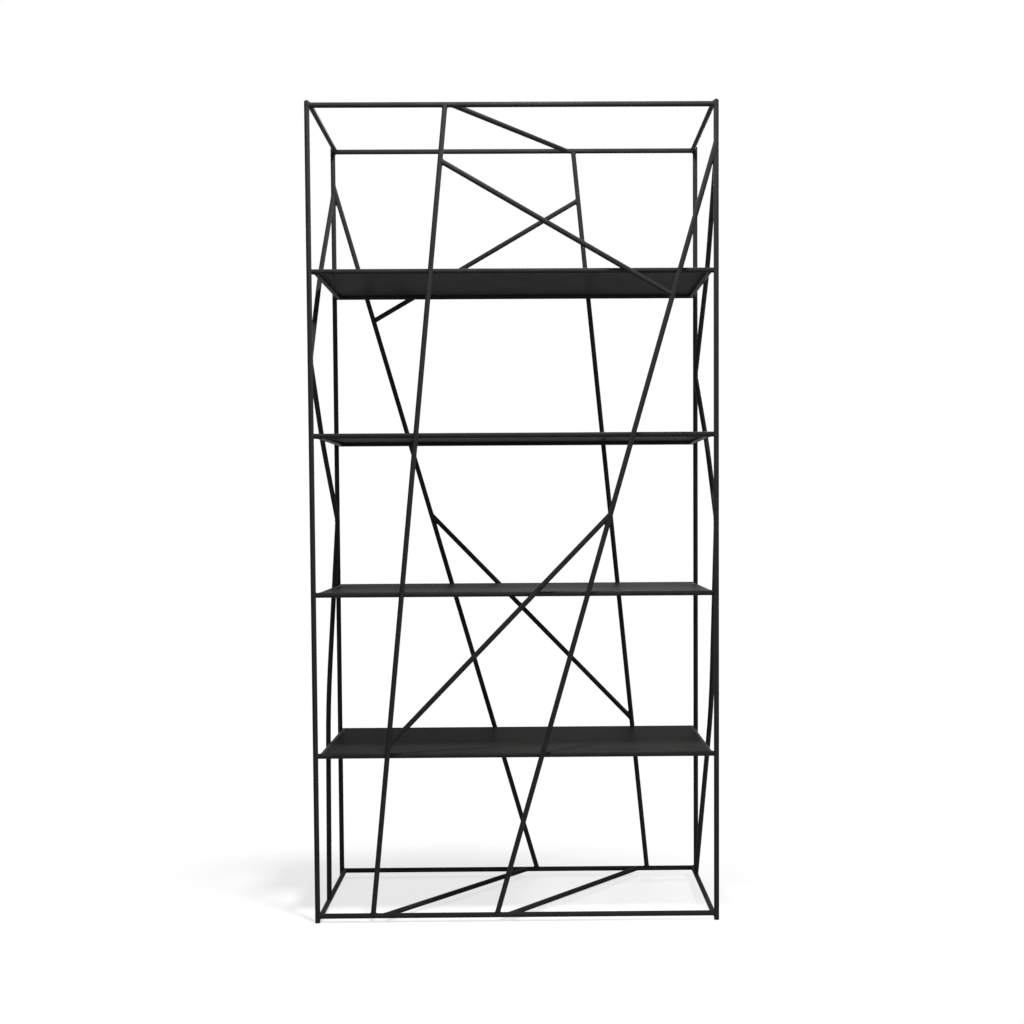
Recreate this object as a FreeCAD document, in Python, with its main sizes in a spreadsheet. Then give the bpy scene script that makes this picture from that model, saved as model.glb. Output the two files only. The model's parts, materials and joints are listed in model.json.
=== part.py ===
import FreeCAD, Part
import Sketcher
import os

# Zigzag bookshelf: a welded frame of round steel rod with four sheet shelves, in millimetres.
# The origin is on the floor under the middle of the frame.
# X runs to the right, the front faces -Y and Z is up.
# The back is the front turned half a turn about Z, and the left side is the right side turned the same way.

sizes = {
    # whole frame: outside to outside of the posts, and floor to post tops
    "overall_width": 1000,
    "overall_depth": 380,
    "overall_height": 2005,
    # round stock
    "post_diameter": 12.7,
    "post_top_chamfer": 2.5,
    "rail_diameter": 12.7,
    "rod_diameter": 12.7,
    "shelf_bar_diameter": 12.7,
    # root gap between a welded end and the piece that carries it
    "weld_gap": 0.1,
    # top and bottom frames: rail axes from the post tops, from the floor, and in from the posts
    "top_rail_drop": 11,
    "bottom_rail_height": 16,
    "side_rail_inset": 8,
    # front face: offsets from the left post's axis, drops from the post tops, heights from the floor
    "tall_rod_top_offset": 333,
    "tall_rod_foot_offset": 137,
    "slant_rod_top_drop": 102,
    "slant_rod_foot_offset": 443,
    "upper_brace_left_drop": 144,
    "upper_brace_right_drop": 469,
    "lower_brace_right_height": 1005,
    "lower_brace_left_height": 437,
    # slanted bars in the top and bottom frames: offsets from the left post's axis
    "top_diagonal_offset": 350,
    "bottom_diagonal_front_offset": 164,
    "bottom_diagonal_back_offset": 515,
    # side faces: joints on the posts, the lowest rods' feet from the next post's axis, and the outward bend
    "side_top_drop": 130,
    "side_middle_drop": 622,
    "side_low_height": 990,
    "right_foot_offset": 58,
    "left_foot_offset": 119,
    "side_bend_radius": 3500,
    # shelves: evenly spaced, but for the middle two, which are set nearer to each other by this much each
    "middle_shelf_shift": 3,
    # shelf sheets, laid between the bars, a little below their tops
    "panel_thickness": 2,
    "panel_recess": 0.5,
    "panel_corner_clip": 3,
}
shelf_names = ("shelf_1", "shelf_2", "shelf_3", "shelf_4")
bay_count = len(shelf_names) + 1

doc = FreeCAD.newDocument("zigzag_bookshelf")
sheet = doc.addObject("Spreadsheet::Sheet", "dimensions")
for row, (alias, value) in enumerate(sizes.items(), start=1):
    sheet.set(f"A{row}", alias.replace("_", " "))
    sheet.set(f"B{row}", str(value))
    sheet.setAlias(f"B{row}", alias)
doc.recompute()

nodes = {}
members = {}


# Expressions on the sheet

def size(alias):
    return f"dimensions.{alias} * 1 mm"


def half(alias):
    return f"dimensions.{alias} * 0.5 mm"


def bind(thing, expressions):
    for name, expression in expressions.items():
        thing.setExpression(name, expression)


def minus(expression):
    return f"-({expression})"


def from_left_post(alias):
    return f"{size(alias)} - ({post_x})"


def below_top(alias):
    return f"{size('overall_height')} - {size(alias)}"


post_x = f"{half('overall_width')} - {half('post_diameter')}"
post_y = f"{half('overall_depth')} - {half('post_diameter')}"
top_rail_z = below_top("top_rail_drop")
bottom_rail_z = size("bottom_rail_height")
side_rail_x = f"{post_x} - {size('side_rail_inset')}"
thickest_face_radius = f"max({half('post_diameter')}; {half('rod_diameter')})"
shelf_inset = f"{thickest_face_radius} + {half('shelf_bar_diameter')} + {size('weld_gap')}"
bay_height = f"({top_rail_z} - {bottom_rail_z}) / {bay_count}"
half_turn = "placement(vector(0; 0; 0); rotation(vector(0; 0; 1); 180))"


# Joint points: the skeleton that the rods are laid on

def joint(name, x, y, z):
    point = doc.addObject("Part::Vertex", name)
    bind(point, {"X": x, "Y": y, "Z": z})
    return point


def turned(point):
    name = point.Name
    return joint(f"{name}_turned", f"-{name}.X", f"-{name}.Y", f"{name}.Z")


def on_rod(name, rod, z):
    start, end = members[rod][:2]
    run = f"({end.Name}.X - {start.Name}.X) / ({end.Name}.Z - {start.Name}.Z)"
    return joint(name, f"{start.Name}.X + ({z} - {start.Name}.Z) * {run}", f"{start.Name}.Y", z)


def steps(start, end):
    return [f"({end.Name}.{axis} - {start.Name}.{axis})" for axis in "XYZ"]


def length(start, end):
    return "sqrt(" + " + ".join(f"{step}^2" for step in steps(start, end)) + ")"


# Rods: stock laid from joint to joint, with its ends coped to the pieces that carry them

def straight_stock(name, start, end, radius):
    stock = doc.addObject("Part::Cylinder", name)
    across, along, up = steps(start, end)
    lean = f"rotation(vector(-{along}; {across}; 0); acos({up} / {length(start, end)}))"
    bind(stock, {
        "Radius": radius,
        "Height": length(start, end),
        "Placement": f"placement(vector({start.Name}.X; {start.Name}.Y; {start.Name}.Z); {lean})",
    })
    return stock


def cope(carrier):
    name = f"{carrier}_cope"
    if doc.getObject(name) is None:
        start, end, diameter = members[carrier]
        straight_stock(name, start, end, f"{half(diameter)} + {size('weld_gap')}")
    return doc.getObject(name)


def keep(name, piece):
    piece.Label = name
    nodes[name] = piece


def keep_cut(name, stock, tools):
    piece = stock
    for number, tool in enumerate(tools, start=1):
        cut = doc.addObject("Part::Cut", f"{name}_cut_{number}")
        cut.Base = piece
        cut.Tool = tool
        piece = cut
    keep(name, piece)


def straight_rod(name, start, end, diameter, carriers=()):
    members[name] = (start, end, diameter)
    stock = straight_stock(f"{name}_stock", start, end, half(diameter))
    keep_cut(name, stock, [cope(carrier) for carrier in carriers])


# Side rods: two straight arms and, between them, the middle fifth, which is bent slightly outwards

def bent_stock(name, start, end, side_turn):
    across, along, up = steps(start, end)
    chord = length(start, end)
    arc = f"({chord} / 5)"
    arm = f"(({chord} - {arc}) / 2)"
    bend = f"({size('side_bend_radius')})"
    lean = f"asin({arc} / 2 / {bend})"
    rise = f"({arm} * tan({lean}))"
    middle = "; ".join(f"({start.Name}.{axis} + {end.Name}.{axis}) / 2" for axis in "XYZ")
    facing = f"rotation(vector(1; 0; 0); atan2({up}; {along}))"
    tilt = f"rotation(vector(0; 0; 1); asin(-{across} / {chord}))"
    chord_frame = f"{side_turn} * placement(vector({middle}); {facing} * {tilt})"

    def straight_arm(arm_name, foot, lean_turn):
        piece = doc.addObject("Part::Cylinder", arm_name)
        way = f"rotation(vector(0; 0; 1); {lean_turn}) * rotation(vector(1; 0; 0); -90)"
        bind(piece, {
            "Radius": half("rod_diameter"),
            "Height": f"{arm} / cos({lean})",
            "Placement": f"{chord_frame} * placement({foot}; {way})",
        })
        return piece

    first_arm = straight_arm(f"{name}_first_arm", f"vector(0; -{chord} / 2; 0)", f"-{lean}")
    last_arm = straight_arm(f"{name}_last_arm", f"vector({rise}; {arc} / 2; 0)", lean)
    bent_run = doc.addObject("Part::Torus", f"{name}_bent_run")
    ring_centre = f"vector({rise} - {bend} * cos({lean}); 0; 0)"
    bind(bent_run, {
        "Radius1": bend,
        "Radius2": half("rod_diameter"),
        "Angle3": f"2 * {lean}",
        "Placement": f"{chord_frame} * placement({ring_centre}; rotation(vector(0; 0; 1); -{lean}))",
    })
    stock = doc.addObject("Part::MultiFuse", name)
    stock.Shapes = [first_arm, bent_run, last_arm]
    return stock


def mitre(name, point, from_below, side_turn):
    # a block that trims one side rod level with the joint that it shares with the next
    block = doc.addObject("Part::Box", name)
    reach = f"4 * ({size('rod_diameter')})"
    base = f"{half('weld_gap')} - {reach}" if from_below else minus(half("weld_gap"))
    level = f"{point.Name}.X - {reach} / 2; {point.Name}.Y - {reach} / 2"
    corner = f"vector({level}; {point.Name}.Z + ({base}))"
    bind(block, {
        "Length": reach,
        "Width": reach,
        "Height": reach,
        "Placement": f"{side_turn} * placement({corner}; rotation(vector(0; 0; 1); 0))",
    })
    return block


# Posts and shelf panels: padded sketches

def sketch_on_ground(body, name):
    sketch = body.newObject("Sketcher::SketchObject", name)
    ground = next(plane for plane in body.Origin.OriginFeatures if plane.Role == "XY_Plane")
    sketch.AttachmentSupport = [(ground, "")]
    sketch.MapMode = "FlatFace"
    return sketch


def drive(sketch, kind, arguments, name, expression):
    number = sketch.addConstraint(Sketcher.Constraint(kind, *arguments))
    sketch.renameConstraint(number, name)
    sketch.setExpression(f"Constraints.{name}", expression)


def pad_and_chamfer(body, sketch, thickness, edge_is_chamfered, amount):
    pad = body.newObject("PartDesign::Pad", f"{body.Name}_pad")
    pad.Profile = sketch
    pad.setExpression("Length", thickness)
    doc.recompute()
    numbered_edges = enumerate(pad.Shape.Edges, start=1)
    edges = [f"Edge{number}" for number, edge in numbered_edges if edge_is_chamfered(edge)]
    chamfer = body.newObject("PartDesign::Chamfer", f"{body.Name}_chamfer")
    chamfer.Base = (pad, edges)
    chamfer.setExpression("Size", amount)


def is_upper_rim(edge):
    return edge.Curve.TypeId == "Part::GeomCircle" and edge.BoundBox.ZMin > sizes["post_diameter"]


def is_upright(edge):
    return edge.BoundBox.ZLength > max(edge.BoundBox.XLength, edge.BoundBox.YLength)


def post(name, x, y):
    foot = joint(f"{name}_foot", x, y, "0 mm")
    top = joint(f"{name}_top", x, y, size("overall_height"))
    members[name] = (foot, top, "post_diameter")
    body = doc.addObject("PartDesign::Body", name)
    sketch = sketch_on_ground(body, f"{name}_section")
    diameter = sizes["post_diameter"]
    circle, centre, origin, point = 0, 3, -1, 1
    sketch.addGeometry(Part.Circle(FreeCAD.Vector(), FreeCAD.Vector(0, 0, 1), diameter / 2))
    sketch.addConstraint(Sketcher.Constraint("Coincident", circle, centre, origin, point))
    drive(sketch, "Diameter", (circle, diameter), "stock", size("post_diameter"))
    pad_and_chamfer(body, sketch, size("overall_height"), is_upper_rim, size("post_top_chamfer"))
    bind(body, {"Placement.Base.x": x, "Placement.Base.y": y})
    keep(name, body)


def panel(name, half_length, half_width, base_z):
    body = doc.addObject("PartDesign::Body", name)
    sketch = sketch_on_ground(body, f"{name}_outline")
    signs = ((-1, -1), (1, -1), (1, 1), (-1, 1))
    first_run, first_reach = sizes["overall_width"], sizes["overall_depth"]
    corners = [FreeCAD.Vector(x * first_run / 2, y * first_reach / 2) for x, y in signs]
    for corner, next_corner in zip(corners, corners[1:] + corners[:1]):
        sketch.addGeometry(Part.LineSegment(corner, next_corner))
    front, right, back, left = range(4)
    start, end, origin, middle = 1, 2, -1, 1
    for line, next_line in ((front, right), (right, back), (back, left), (left, front)):
        sketch.addConstraint(Sketcher.Constraint("Coincident", line, end, next_line, start))
    for line in (front, back):
        sketch.addConstraint(Sketcher.Constraint("Horizontal", line))
    for line in (left, right):
        sketch.addConstraint(Sketcher.Constraint("Vertical", line))
    sketch.addConstraint(Sketcher.Constraint("Symmetric", front, start, back, start, origin, middle))
    drive(sketch, "DistanceX", (front, start, front, end, first_run), "run", f"2 * ({half_length})")
    drive(sketch, "DistanceY", (right, start, right, end, first_reach), "reach", f"2 * ({half_width})")
    pad_and_chamfer(body, sketch, size("panel_thickness"), is_upright, size("panel_corner_clip"))
    body.setExpression("Placement.Base.z", base_z)
    keep(name, body)


# Posts

for depth_name, y in (("front", minus(post_y)), ("back", post_y)):
    for side_name, x in (("left", minus(post_x)), ("right", post_x)):
        post(f"{depth_name}_{side_name}_post", x, y)


# Top and bottom frames

def frame(level, z):
    for depth_name, y in (("front", minus(post_y)), ("back", post_y)):
        name = f"{level}_{depth_name}_rail"
        left_end = joint(f"{name}_left_end", minus(post_x), y, z)
        right_end = joint(f"{name}_right_end", post_x, y, z)
        carriers = [f"{depth_name}_left_post", f"{depth_name}_right_post"]
        straight_rod(name, left_end, right_end, "rail_diameter", carriers)
    for side_name, x in (("left", minus(side_rail_x)), ("right", side_rail_x)):
        name = f"{level}_{side_name}_rail"
        front_end = joint(f"{name}_front_end", x, minus(post_y), z)
        back_end = joint(f"{name}_back_end", x, post_y, z)
        carriers = [f"{level}_front_rail", f"{level}_back_rail"]
        carriers += [f"front_{side_name}_post", f"back_{side_name}_post"]
        straight_rod(name, front_end, back_end, "rail_diameter", carriers)


frame("top", top_rail_z)
frame("bottom", bottom_rail_z)

top_front_x = from_left_post("top_diagonal_offset")
top_front = joint("top_diagonal_front", top_front_x, minus(post_y), top_rail_z)
top_rails = ["top_front_rail", "top_back_rail"]
straight_rod("top_diagonal", top_front, turned(top_front), "rod_diameter", top_rails)

low_front_x = from_left_post("bottom_diagonal_front_offset")
low_back_x = from_left_post("bottom_diagonal_back_offset")
low_front = joint("bottom_diagonal_front", low_front_x, minus(post_y), bottom_rail_z)
low_back = joint("bottom_diagonal_back", low_back_x, post_y, bottom_rail_z)
bottom_rails = ["bottom_front_rail", "bottom_back_rail"]
straight_rod("bottom_diagonal_left", low_front, low_back, "rod_diameter", bottom_rails)
straight_rod("bottom_diagonal_right", turned(low_front), turned(low_back), "rod_diameter", bottom_rails)


# Front and back faces

facing_away = {"front_right_post": "back_left_post", "front_left_post": "back_right_post"}


def face_rod(name, start, end, start_carrier, end_carrier):
    straight_rod(f"front_{name}", start, end, "rod_diameter", [start_carrier, end_carrier])
    carriers = [facing_away.get(carrier, carrier) for carrier in (start_carrier, end_carrier)]
    carriers = [carrier.replace("front", "back") for carrier in carriers]
    straight_rod(f"back_{name}", turned(start), turned(end), "rod_diameter", carriers)


tall_top = joint("tall_rod_top", from_left_post("tall_rod_top_offset"), minus(post_y), top_rail_z)
tall_foot = joint("tall_rod_foot", from_left_post("tall_rod_foot_offset"), minus(post_y), bottom_rail_z)
face_rod("tall_rod", tall_top, tall_foot, "top_front_rail", "bottom_front_rail")

slant_top = joint("slant_rod_top", post_x, minus(post_y), below_top("slant_rod_top_drop"))
slant_foot = joint("slant_rod_foot", from_left_post("slant_rod_foot_offset"), minus(post_y), bottom_rail_z)
face_rod("slant_rod", slant_top, slant_foot, "front_right_post", "bottom_front_rail")

upper_left = on_rod("upper_brace_left", "front_tall_rod", below_top("upper_brace_left_drop"))
upper_right = on_rod("upper_brace_right", "front_slant_rod", below_top("upper_brace_right_drop"))
face_rod("upper_brace", upper_left, upper_right, "front_tall_rod", "front_slant_rod")

lower_right = on_rod("lower_brace_right", "front_slant_rod", size("lower_brace_right_height"))
lower_left = on_rod("lower_brace_left", "front_tall_rod", size("lower_brace_left_height"))
face_rod("lower_brace", lower_right, lower_left, "front_slant_rod", "front_tall_rod")


# Side faces

side_top = joint("side_top", post_x, minus(post_y), below_top("side_top_drop"))
side_middle = joint("side_middle", post_x, post_y, below_top("side_middle_drop"))
side_low = joint("side_low", post_x, minus(post_y), size("side_low_height"))


def side_face(side_name, near, near_post, far_post, foot_offset, side_turn):
    # joints are those of the right side, and side_turn carries the finished rods to their own side
    foot = joint(f"{side_name}_side_foot", side_rail_x, f"{post_y} - {size(foot_offset)}", bottom_rail_z)
    rods = {
        "upper": (side_top, side_middle, [near_post, f"{near}_slant_rod", far_post]),
        "middle": (side_middle, side_low, [far_post, near_post]),
        "lower": (side_low, foot, [near_post, f"bottom_{side_name}_rail"]),
    }
    for place, (start, end, carriers) in rods.items():
        name = f"{side_name}_side_{place}_rod"
        tools = [cope(carrier) for carrier in carriers]
        if start is not side_top:
            tools.append(mitre(f"{name}_top_mitre", start, False, side_turn))
        if end is not foot:
            tools.append(mitre(f"{name}_foot_mitre", end, True, side_turn))
        keep_cut(name, bent_stock(f"{name}_stock", start, end, side_turn), tools)


no_turn = "placement(vector(0; 0; 0); rotation(vector(0; 0; 1); 0))"
side_face("right", "front", "front_right_post", "back_right_post", "right_foot_offset", no_turn)
side_face("left", "back", "back_left_post", "front_left_post", "left_foot_offset", half_turn)


# Shelves

shelf_shifts = {"shelf_2": size("middle_shelf_shift"), "shelf_3": minus(size("middle_shelf_shift"))}


def shelf(name, bays_below):
    z = f"{bottom_rail_z} + {bays_below} * {bay_height} + ({shelf_shifts.get(name, '0 mm')})"
    bar_x = f"{post_x} - ({shelf_inset})"
    bar_y = f"{post_y} - ({shelf_inset})"
    for depth_name, y in (("front", minus(bar_y)), ("back", bar_y)):
        left_end = joint(f"{name}_{depth_name}_left_end", minus(post_x), y, z)
        right_end = joint(f"{name}_{depth_name}_right_end", post_x, y, z)
        straight_rod(f"{name}_{depth_name}_bar", left_end, right_end, "shelf_bar_diameter")
    for side_name, x in (("left", minus(bar_x)), ("right", bar_x)):
        front_end = joint(f"{name}_{side_name}_front_end", x, minus(bar_y), z)
        back_end = joint(f"{name}_{side_name}_back_end", x, bar_y, z)
        carriers = [f"{name}_front_bar", f"{name}_back_bar"]
        straight_rod(f"{name}_{side_name}_bar", front_end, back_end, "shelf_bar_diameter", carriers)
    # the sheet's lower edges rest on the flanks of the bars, this far above and in from their axes
    rise = f"{half('shelf_bar_diameter')} - {size('panel_recess')} - {size('panel_thickness')}"
    edge = f"sqrt(({half('shelf_bar_diameter')})^2 - ({rise})^2) + {size('weld_gap')}"
    panel(f"{name}_panel", f"{bar_x} - ({edge})", f"{bar_y} - ({edge})", f"{z} + {rise}")


for bays_below, name in enumerate(shelf_names, start=1):
    shelf(name, bays_below)

doc.recompute()

for thing in doc.Objects:
    if "Invalid" in thing.State or "Error" in thing.State:
        raise RuntimeError(f"{thing.Name} failed to rebuild: {thing.State}")
for name, piece in nodes.items():
    if piece.Shape.isNull() or not piece.Shape.isValid() or len(piece.Shape.Solids) != 1:
        raise RuntimeError(f"{name} is not one valid solid")

os.makedirs("parts", exist_ok=True)
for name, piece in nodes.items():
    piece.Shape.exportStep(f"parts/{name}.step")
print(f"{len(nodes)} pieces written")
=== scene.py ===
import json
import math
import bpy
from mathutils import Euler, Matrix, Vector


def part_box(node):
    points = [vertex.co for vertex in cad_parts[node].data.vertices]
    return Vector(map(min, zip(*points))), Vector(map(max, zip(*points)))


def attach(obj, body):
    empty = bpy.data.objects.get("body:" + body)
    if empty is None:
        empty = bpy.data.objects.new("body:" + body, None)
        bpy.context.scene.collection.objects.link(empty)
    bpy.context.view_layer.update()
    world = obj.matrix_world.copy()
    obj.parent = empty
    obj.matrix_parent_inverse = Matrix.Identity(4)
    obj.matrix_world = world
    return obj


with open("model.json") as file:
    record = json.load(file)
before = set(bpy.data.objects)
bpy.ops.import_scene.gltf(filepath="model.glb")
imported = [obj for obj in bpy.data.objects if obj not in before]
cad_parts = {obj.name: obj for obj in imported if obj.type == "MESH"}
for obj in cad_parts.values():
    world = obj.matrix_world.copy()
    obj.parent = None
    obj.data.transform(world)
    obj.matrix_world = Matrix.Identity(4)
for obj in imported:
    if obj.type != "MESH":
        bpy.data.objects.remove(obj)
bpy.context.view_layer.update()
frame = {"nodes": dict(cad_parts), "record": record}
nodes = frame["nodes"]
print(f"frame loaded: {len(nodes)} pieces")


# Colour and node helpers

def linearColour(hexColour):
    parts = [int(hexColour[place:place + 2], 16) / 255 for place in (1, 3, 5)]
    return [part / 12.92 if part <= 0.04045 else ((part + 0.055) / 1.055) ** 2.4 for part in parts] + [1]


def addNode(tree, kind, settings=None, links=None):
    node = tree.nodes.new(kind)
    for name, value in (settings or {}).items():
        if isinstance(name, int) or name in node.inputs:
            node.inputs[name].default_value = value
        else:
            setattr(node, name, value)
    for name, socket in (links or {}).items():
        tree.links.new(socket, node.inputs[name])
    return node


def emptyMaterial(name):
    material = bpy.data.materials.new(name)
    material.use_nodes = True
    material.node_tree.nodes.clear()
    return material, material.node_tree


# Powder coat: polyester baked on steel gives a low satin sheen, a fine orange peel and no metal glint

coatFilm = {
    "ior": 1.5,                 # polyester
    "cloudDetail": 3.0,
    "peelDetail": 1.0,
    "peelStrength": 0.6,
    "lieFrom": 0.3,             # a face that looks less up or down than this has no dust and no painted light from below
}
barCoat = {
    "deep": "#1d1d1e",          # the film's own black
    "pale": "#262627",          # thinner film and handling
    "cloudMm": 45,              # size of the cloudy change between the two
    "roughness": (0.24, 0.32),
    "sheenLevel": 0.005,
    "peelMm": 2.5,              # real peel is about 1 mm: drawn coarser so that it shows
    "peelHeightMm": 0.015,
    "dust": "#3a3834",
    "dustShare": 0.10,          # the most that dust covers, on a face that looks straight up
    "paintedUnderLight": "#2c2c2c",
    "paintedUnderLightShare": 0.10,          # the most that painted light from below covers, as a paler tone, on a face that looks straight down
}
sheetCoat = {
    "deep": "#1a1a1a",
    "pale": "#222221",
    "cloudMm": 120,
    "roughness": (0.40, 0.50),
    "sheenLevel": 0.002,
    "peelMm": 4.0,              # drawn coarser still on these wide faces
    "peelHeightMm": 0.01,
    "dust": "#2e2c28",
    "dustShare": 0.12,
    # painted light from below: faces that look down are drawn in this paler tone, most of all those that
    # look straight down
    "paintedUnderLight": "#363635",
    "paintedUnderLightShare": 1.0,
}


def powderCoat(name, look):
    material, tree = emptyMaterial(name)
    place = addNode(tree, "ShaderNodeTexCoord").outputs["Object"]
    clouds = addNode(tree, "ShaderNodeTexNoise", {"Scale": 1000 / look["cloudMm"],
                                                  "Detail": coatFilm["cloudDetail"]},
                     {"Vector": place}).outputs["Fac"]
    film = addNode(tree, "ShaderNodeMix", {"data_type": "RGBA", 6: linearColour(look["deep"]),
                                           7: linearColour(look["pale"])}, {0: clouds}).outputs[2]
    facing = addNode(tree, "ShaderNodeNewGeometry").outputs["Normal"]
    upward = addNode(tree, "ShaderNodeSeparateXYZ", links={0: facing}).outputs["Z"]
    colour = film
    # dust on faces that look up, and painted light from below as a paler tone on faces that look down
    for layer, way in (("dust", 1), ("paintedUnderLight", -1)):
        dustAndUnderLightReach = addNode(tree, "ShaderNodeMapRange", {"From Min": coatFilm["lieFrom"] * way, "From Max": way,
                                                     "To Max": look[f"{layer}Share"]},
                        {"Value": upward}).outputs["Result"]
        dustAndUnderLightPatches = addNode(tree, "ShaderNodeMath", {"operation": "MULTIPLY"},
                         {0: dustAndUnderLightReach, 1: clouds}).outputs[0]
        colour = addNode(tree, "ShaderNodeMix", {"data_type": "RGBA", 7: linearColour(look[layer])},
                         {0: dustAndUnderLightPatches, 6: colour}).outputs[2]
    low, high = look["roughness"]
    roughness = addNode(tree, "ShaderNodeMapRange", {"To Min": low, "To Max": high},
                        {"Value": clouds}).outputs["Result"]
    peel = addNode(tree, "ShaderNodeTexNoise", {"Scale": 1000 / look["peelMm"],
                                                "Detail": coatFilm["peelDetail"]},
                   {"Vector": place}).outputs["Fac"]
    bump = addNode(tree, "ShaderNodeBump", {"Strength": coatFilm["peelStrength"],
                                            "Distance": look["peelHeightMm"] / 1000},
                   {"Height": peel}).outputs["Normal"]
    shader = addNode(tree, "ShaderNodeBsdfPrincipled", {"IOR": coatFilm["ior"],
                                                        "Specular IOR Level": look["sheenLevel"]},
                     {"Base Color": colour, "Roughness": roughness, "Normal": bump}).outputs[0]
    addNode(tree, "ShaderNodeOutputMaterial", links={"Surface": shader})
    return material


coats = {"coated_bar": powderCoat("satinBlackPowderCoat", barCoat),
         "coated_sheet": powderCoat("sheetBlackPowderCoat", sheetCoat)}
for subpart in frame["record"]["subparts"]:
    node = nodes[subpart["node"]]
    for materialSlot in node.material_slots:
        materialSlot.material = coats[subpart["material_slot"]]
print("coats on")


# Welds: a low bead wherever the end of a bar meets the bar that carries it, ground a little and coated over

weldLook = {
    "standOffMm": 2.2,          # how far a bead stands off the bars it joins
    "gridMm": 0.6,
    "smoothTurns": 6,
    "rippleMm": 0.5,
    "rippleSizeMm": 4.0,
    "longestMm": 120,           # a bead longer than this is a failed cut and is left out
}
faces = ("front", "back")
sides = ("left", "right")
shelfNumbers = range(1, 5)      # from the floor up
mergeM = 1e-5                   # corners closer than this are one corner


def frameJoints(level):
    joints = []
    for face in faces:
        rail = f"{level}_{face}_rail"
        for side in sides:
            joints += [(rail, f"{face}_{side}_post"), (f"{level}_{side}_rail", rail),
                       (f"{level}_{side}_rail", f"{face}_{side}_post")]
    diagonals = ["top_diagonal"] if level == "top" else ["bottom_diagonal_left", "bottom_diagonal_right"]
    joints += [(diagonal, f"{level}_{face}_rail") for diagonal in diagonals for face in faces]
    return joints


def faceJoints(face, slantSide):
    tall, slant = f"{face}_tall_rod", f"{face}_slant_rod"
    joints = [(tall, f"top_{face}_rail"), (tall, f"bottom_{face}_rail"),
              (slant, f"{face}_{slantSide}_post"), (slant, f"bottom_{face}_rail")]
    for brace in ("upper_brace", "lower_brace"):
        joints += [(f"{face}_{brace}", tall), (f"{face}_{brace}", slant)]
    return joints


def sideJoints(side):
    rods = [f"{side}_side_{place}_rod" for place in ("upper", "middle", "lower")]
    carriers = [f"front_{side}_post", f"back_{side}_post", f"bottom_{side}_rail"]
    return [(rod, carrier) for rod in rods for carrier in carriers]     # a pair that is apart gets no bead


def shelfJoints(number):
    joints = []
    for face in faces:
        for side in sides:
            joints += [(f"shelf_{number}_{face}_bar", f"{face}_{side}_post"),
                       (f"shelf_{number}_{side}_bar", f"shelf_{number}_{face}_bar")]
    return joints


def select(piece):
    bpy.ops.object.select_all(action="DESELECT")
    piece.select_set(True)
    bpy.context.view_layer.objects.active = piece


def newPiece(name, mesh):
    piece = bpy.data.objects.new(name, mesh)
    bpy.context.scene.collection.objects.link(piece)
    return piece


def mergeCorners(piece):
    select(piece)
    bpy.ops.object.mode_set(mode="EDIT")
    bpy.ops.mesh.select_all(action="SELECT")
    bpy.ops.mesh.remove_doubles(threshold=mergeM)
    bpy.ops.object.mode_set(mode="OBJECT")


def applyAll(piece):
    select(piece)
    for modifier in list(piece.modifiers):
        bpy.ops.object.modifier_apply(modifier=modifier.name)


def fattenedBar(nodeName):
    bar = newPiece("fattenedBar", nodes[nodeName].data.copy())
    mergeCorners(bar)
    swell = bar.modifiers.new("swell", "DISPLACE")
    swell.strength = weldLook["standOffMm"] / 1000
    swell.mid_level = 0
    applyAll(bar)
    return bar


def weldGroup(name, joints):
    fatBars = {bar: fattenedBar(bar) for bar in sorted({bar for joint in joints for bar in joint})}
    beads = []
    for rod, carrier in joints:
        bead = newPiece("bead", fatBars[rod].data.copy())
        meet = bead.modifiers.new("meet", "BOOLEAN")
        meet.operation = "INTERSECT"
        meet.solver = "MANIFOLD"
        meet.object = fatBars[carrier]
        applyAll(bead)
        if bead.data.polygons and bead.dimensions.length < weldLook["longestMm"] / 1000:
            beads.append(bead)
        else:
            bpy.data.objects.remove(bead)
    for bar in fatBars.values():
        bpy.data.objects.remove(bar)
    select(beads[0])
    for bead in beads:
        bead.select_set(True)
    bpy.ops.object.join()
    welds = bpy.context.object
    welds.name = name
    skin = welds.modifiers.new("skin", "REMESH")
    skin.mode = "VOXEL"
    skin.voxel_size = weldLook["gridMm"] / 1000
    ease = welds.modifiers.new("ease", "SMOOTH")
    ease.iterations = weldLook["smoothTurns"]
    ripple = welds.modifiers.new("ripple", "DISPLACE")
    ripple.texture = rippleTexture
    ripple.texture_coords = "LOCAL"
    ripple.strength = weldLook["rippleMm"] / 1000
    applyAll(welds)
    bpy.ops.object.shade_smooth()
    welds.data.materials.clear()
    welds.data.materials.append(coats["coated_bar"])
    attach(welds, "root")
    print(f"{name}: {len(beads)} beads, {len(welds.data.polygons)} faces")


rippleTexture = bpy.data.textures.new("weldRipple", "CLOUDS")
rippleTexture.noise_scale = weldLook["rippleSizeMm"] / 1000
for level in ("top", "bottom"):
    weldGroup(f"{level}FrameWelds", frameJoints(level))
weldGroup("frontFaceWelds", faceJoints("front", "right"))
weldGroup("backFaceWelds", faceJoints("back", "left"))
for side in sides:
    weldGroup(f"{side}SideWelds", sideJoints(side))
for number in shelfNumbers:
    weldGroup(f"shelf{number}Welds", shelfJoints(number))
print("welds laid")


# Sheet seams: each sheet is welded to its bars from below, and the coat closes the joint all round

seamLook = {
    "radiusMm": 1.3,
    "roundSteps": 2,
    "cuts": 60,                 # along each edge, so that the bead can waver
    "waverMm": 0.4,
    "waverSizeMm": 9.0,
}


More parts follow.
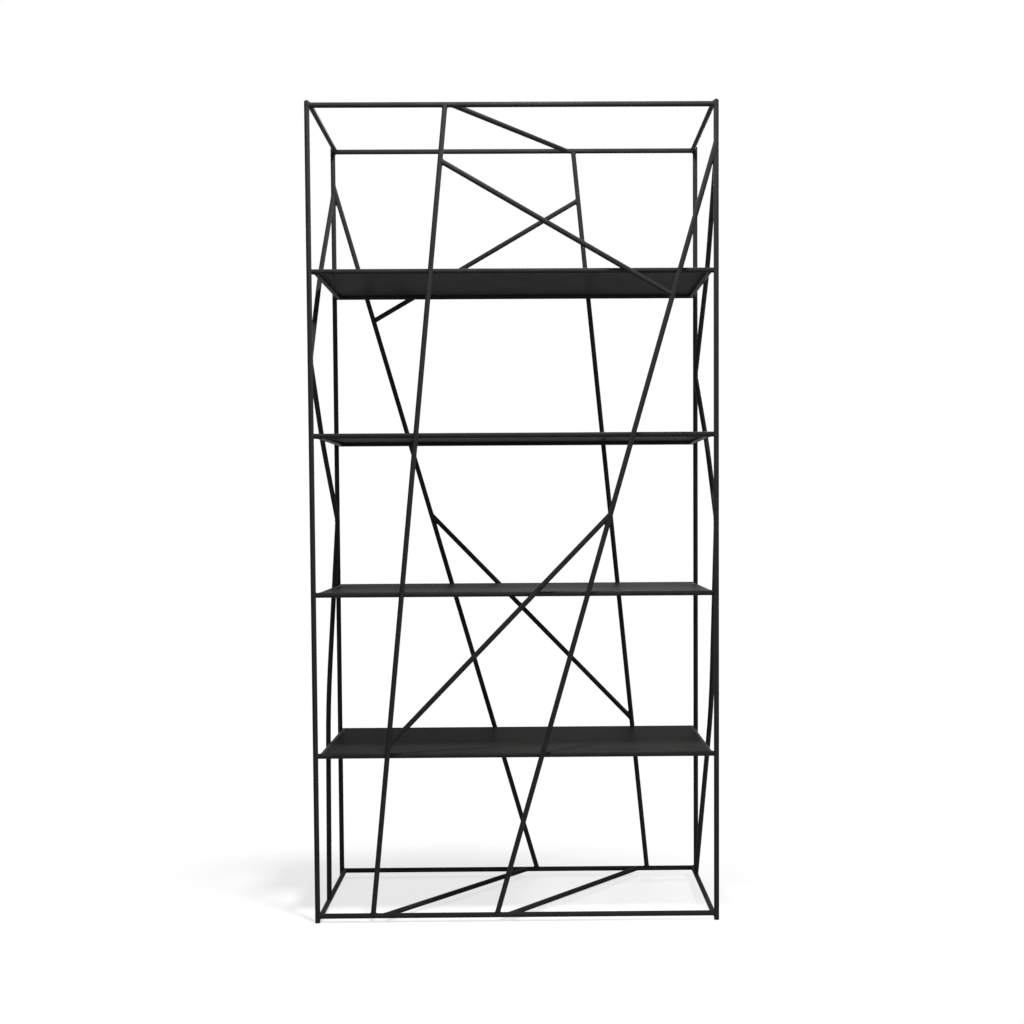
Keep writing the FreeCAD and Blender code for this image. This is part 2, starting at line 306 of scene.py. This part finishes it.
def sheetSeam(number):
    low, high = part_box(f"shelf_{number}_panel")
    middle = [(start + end) / 2 for start, end in zip(low, high)]
    bpy.ops.object.select_all(action="DESELECT")
    bpy.ops.mesh.primitive_plane_add(size=1, location=(middle[0], middle[1], low[2]))
    seam = bpy.context.object
    seam.name = f"shelf{number}Seam"
    seam.scale = (high[0] - low[0], high[1] - low[1], 1)
    bpy.ops.object.transform_apply()
    bpy.ops.object.mode_set(mode="EDIT")
    bpy.ops.mesh.select_all(action="SELECT")
    bpy.ops.mesh.delete(type="ONLY_FACE")
    bpy.ops.mesh.select_all(action="SELECT")
    bpy.ops.mesh.subdivide(number_cuts=seamLook["cuts"])
    bpy.ops.object.mode_set(mode="OBJECT")
    bpy.ops.object.convert(target="CURVE")
    seam.data.bevel_depth = seamLook["radiusMm"] / 1000
    seam.data.bevel_resolution = seamLook["roundSteps"]
    bpy.ops.object.convert(target="MESH")
    mergeCorners(seam)
    bpy.ops.object.mode_set(mode="EDIT")
    bpy.ops.mesh.select_all(action="SELECT")
    bpy.ops.mesh.normals_make_consistent(inside=False)
    bpy.ops.object.mode_set(mode="OBJECT")
    waver = seam.modifiers.new("waver", "DISPLACE")
    waver.texture = waverTexture
    waver.texture_coords = "LOCAL"
    waver.strength = seamLook["waverMm"] / 1000
    applyAll(seam)
    bpy.ops.object.shade_smooth()
    seam.data.materials.append(coats["coated_bar"])
    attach(seam, "root")
    print(f"{seam.name}: {len(seam.data.polygons)} faces")


waverTexture = bpy.data.textures.new("seamWaver", "CLOUDS")
waverTexture.noise_scale = seamLook["waverSizeMm"] / 1000
for number in shelfNumbers:
    sheetSeam(number)
print("sheets seamed")


# Studio: white paper floor, white surroundings for what is seen, and soft lamps

studio = {
    "floorHalfM": 12,
    "paper": "#f4f4f3",
    "shadowAt": (-0.20, 0.06),  # the paper fades to the white surroundings round this point
    "shadowHalfM": (1.00, 0.50),
    "fadeFrom": 0.5,            # shares of those half sizes
    "fadeTo": 1.0,
    "leastFade": 0.66,          # keeps the shadow as faint as it looks on a lit sweep
    "ambient": 0.22,            # how strongly the surroundings light the shelf
    "white": (1, 1, 1, 1),
    "whiteStrength": 1.0,
}


def seenOrMirrored(tree):
    rays = addNode(tree, "ShaderNodeLightPath").outputs
    either = addNode(tree, "ShaderNodeMath", {"operation": "MAXIMUM"},
                     {0: rays["Is Camera Ray"], 1: rays["Is Glossy Ray"]}).outputs[0]
    return addNode(tree, "ShaderNodeMath", {"operation": "MAXIMUM"},
                   {0: either, 1: rays["Is Transmission Ray"]}).outputs[0]


def floorPaper():
    material, tree = emptyMaterial("whiteSeamlessPaper")
    place = addNode(tree, "ShaderNodeTexCoord").outputs["Object"]
    patch = addNode(tree, "ShaderNodeMapping", {"vector_type": "TEXTURE",
                                                "Location": (*studio["shadowAt"], 0),
                                                "Scale": (*studio["shadowHalfM"], 1)},
                    {"Vector": place}).outputs[0]
    away = addNode(tree, "ShaderNodeVectorMath", {"operation": "LENGTH"}, {0: patch}).outputs["Value"]
    fade = addNode(tree, "ShaderNodeMapRange", {"interpolation_type": "SMOOTHSTEP",
                                                "From Min": studio["fadeFrom"],
                                                "From Max": studio["fadeTo"],
                                                "To Min": studio["leastFade"]},
                   {"Value": away}).outputs["Result"]
    share = addNode(tree, "ShaderNodeMath", {"operation": "MULTIPLY"},
                    {0: fade, 1: seenOrMirrored(tree)}).outputs[0]
    paper = addNode(tree, "ShaderNodeBsdfDiffuse", {"Color": linearColour(studio["paper"])}).outputs[0]
    white = addNode(tree, "ShaderNodeEmission", {"Color": studio["white"],
                                                 "Strength": studio["whiteStrength"]}).outputs[0]
    surface = addNode(tree, "ShaderNodeMixShader", links={0: share, 1: paper, 2: white}).outputs[0]
    addNode(tree, "ShaderNodeOutputMaterial", links={"Surface": surface})
    return material


def studioFloor():
    bpy.ops.mesh.primitive_plane_add(size=2 * studio["floorHalfM"])
    floor = bpy.context.object
    floor.name = "paperFloor"
    floor.data.materials.append(floorPaper())


def whiteSurroundings():
    world = bpy.data.worlds.new("whiteSurroundings")
    bpy.context.scene.world = world
    world.use_nodes = True
    tree = world.node_tree
    tree.nodes.clear()
    ambient = addNode(tree, "ShaderNodeBackground", {"Color": studio["white"],
                                                     "Strength": studio["ambient"]}).outputs[0]
    white = addNode(tree, "ShaderNodeBackground", {"Color": studio["white"],
                                                   "Strength": studio["whiteStrength"]}).outputs[0]
    surface = addNode(tree, "ShaderNodeMixShader",
                      links={0: seenOrMirrored(tree), 1: ambient, 2: white}).outputs[0]
    addNode(tree, "ShaderNodeOutputWorld", links={"Surface": surface})


lamps = {
    "keySoftbox": {"at": (0.05, -0.75, 2.8), "aim": (0.0, -0.1, 1.6), "sizeM": 0.25, "watts": 66},
    "sideSoftbox": {"at": (2.8, -0.5, 2.4), "aim": (0.0, 0.0, 0.0), "sizeM": 0.5, "watts": 52},
    "frontSoftbox": {"at": (0.2, -2.4, 1.5), "aim": (0.0, 0.0, 1.2), "sizeM": 0.6, "watts": 17},
    "backSoftbox": {"at": (0.6, 2.6, 2.6), "aim": (0.0, 0.0, 1.0), "sizeM": 1.4, "watts": 50},
}


def softLamp(name, settings):
    lamp = bpy.data.lights.new(name, "AREA")
    lamp.size = settings["sizeM"]
    lamp.energy = settings["watts"]
    holder = bpy.data.objects.new(name, lamp)
    bpy.context.scene.collection.objects.link(holder)
    holder.location = settings["at"]
    towards = Vector(settings["aim"]) - Vector(settings["at"])
    holder.rotation_euler = towards.to_track_quat("-Z", "Y").to_euler()


bpy.ops.object.select_all(action="DESELECT")
studioFloor()
whiteSurroundings()
for lampName, lampSettings in lamps.items():
    softLamp(lampName, lampSettings)
print("studio set")


# Camera: fitted to the centre lines of the photographed rods

photoView = {
    "at": (0.0454, -3.0370, 1.0135),
    "turnDeg": (87.832, 0.358, -0.431),
    "lensMm": 41.02,
    "shift": (-0.0292, 0.0423),
}


def photoCamera():
    camera = bpy.data.cameras.new("photoCamera")
    camera.lens = photoView["lensMm"]
    camera.shift_x, camera.shift_y = photoView["shift"]
    holder = bpy.data.objects.new("photoCamera", camera)
    bpy.context.scene.collection.objects.link(holder)
    holder.location = photoView["at"]
    holder.rotation_euler = Euler([math.radians(turn) for turn in photoView["turnDeg"]])
    bpy.context.scene.camera = holder


photoCamera()
bpy.context.scene.view_settings.view_transform = "Standard"
print("camera set")
